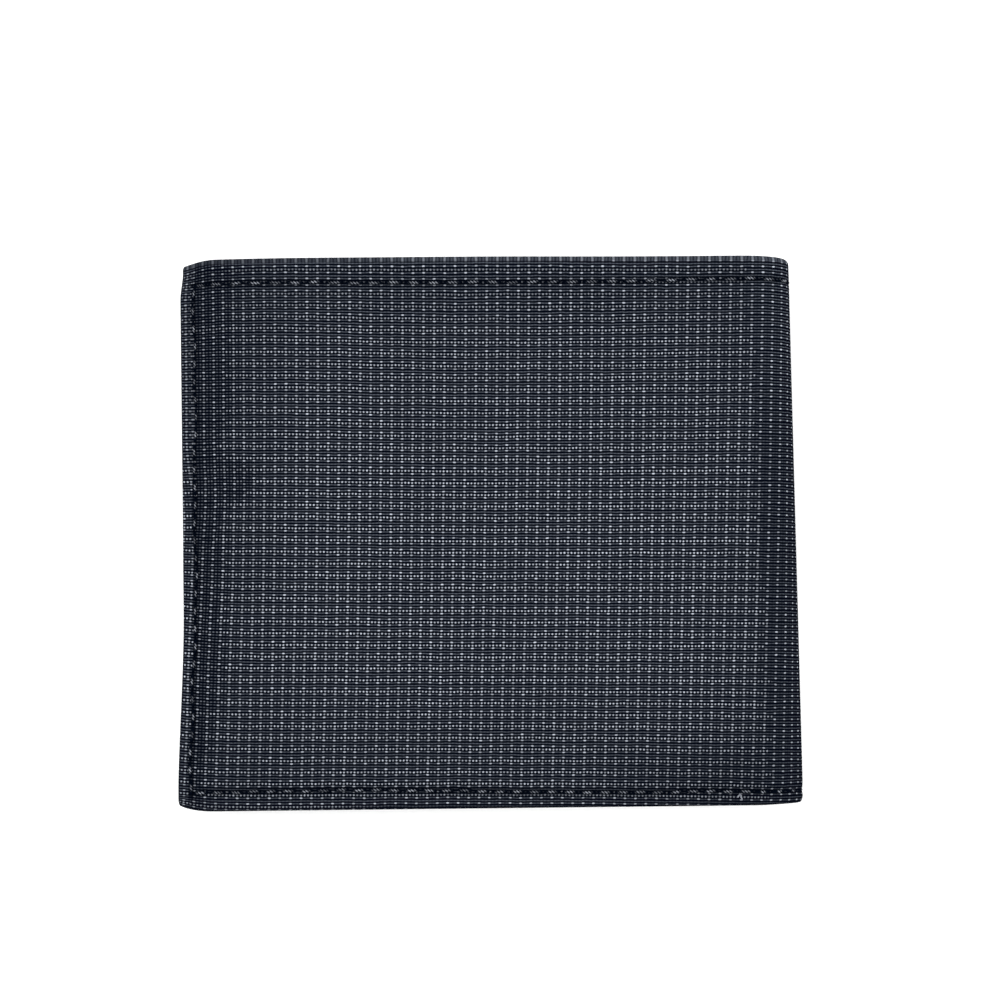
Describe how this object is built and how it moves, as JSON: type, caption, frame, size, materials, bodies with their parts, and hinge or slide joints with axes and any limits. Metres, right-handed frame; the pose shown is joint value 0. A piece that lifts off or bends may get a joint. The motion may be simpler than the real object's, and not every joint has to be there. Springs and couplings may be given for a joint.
{
  "type": "bifold wallet",
  "caption": "Slim woven-cloth bifold wallet that opens flat about a soft double fold, with a full-width note compartment and stepped card slots in both covers.",
  "frame": {"origin": "centre of the closed wallet's footprint, on the surface that the back cover lies on", "axes": "+X towards the fold, +Y towards the mouth of the note compartment, +Z from the back cover up to the front cover"},
  "size_m": [0.11, 0.097, 0.014],
  "materials": {
    "shell_fabric": "coarse dark blue-grey polyester weave with bright yarn dots, slight sheen",
    "stiffener_board": "matt pressed board",
    "lining_fabric": "fine black-navy plain-weave lining, slight sheen",
    "pocket_leather": "fine-grained black leather, satin",
    "sewing_thread": "twisted navy-black sewing thread, slight sheen"
  },
  "bodies": {
    "back_cover": {"shell_back": "shell_fabric", "stiffener_back": "stiffener_board", "note_lining_back": "lining_fabric", "inner_wall_back": "lining_fabric", "slip_pocket_back": "pocket_leather", "card_slot_back_1": "pocket_leather", "card_slot_back_2": "pocket_leather", "card_slot_back_3": "pocket_leather", "card_slot_back_4": "pocket_leather", "thread_back": "sewing_thread"},
    "spine": {"shell_spine": "shell_fabric", "note_lining_spine": "lining_fabric", "inner_wall_spine": "lining_fabric", "thread_spine_top": "sewing_thread", "thread_spine_bottom": "sewing_thread"},
    "front_cover": {"shell_front": "shell_fabric", "stiffener_front": "stiffener_board", "note_lining_front": "lining_fabric", "inner_wall_front": "lining_fabric", "slip_pocket_front": "pocket_leather", "card_slot_front_1": "pocket_leather", "card_slot_front_2": "pocket_leather", "card_slot_front_3": "pocket_leather", "card_slot_front_4": "pocket_leather", "thread_front": "sewing_thread"}
  },
  "joints": [
    {"name": "lower_fold", "type": "hinge", "parent": "back_cover", "child": "spine", "pos_m": [0.05328, 0, 0.00172], "axis": [0, 1, 0], "range_deg": [0, 90]},
    {"name": "upper_fold", "type": "hinge", "parent": "spine", "child": "front_cover", "pos_m": [0.05328, 0, 0.01228], "axis": [0, 1, 0], "range_deg": [0, 90]}
  ],
  "couplings": [
    {"joint": "lower_fold", "follows": "upper_fold", "ratio": 1}
  ]
}
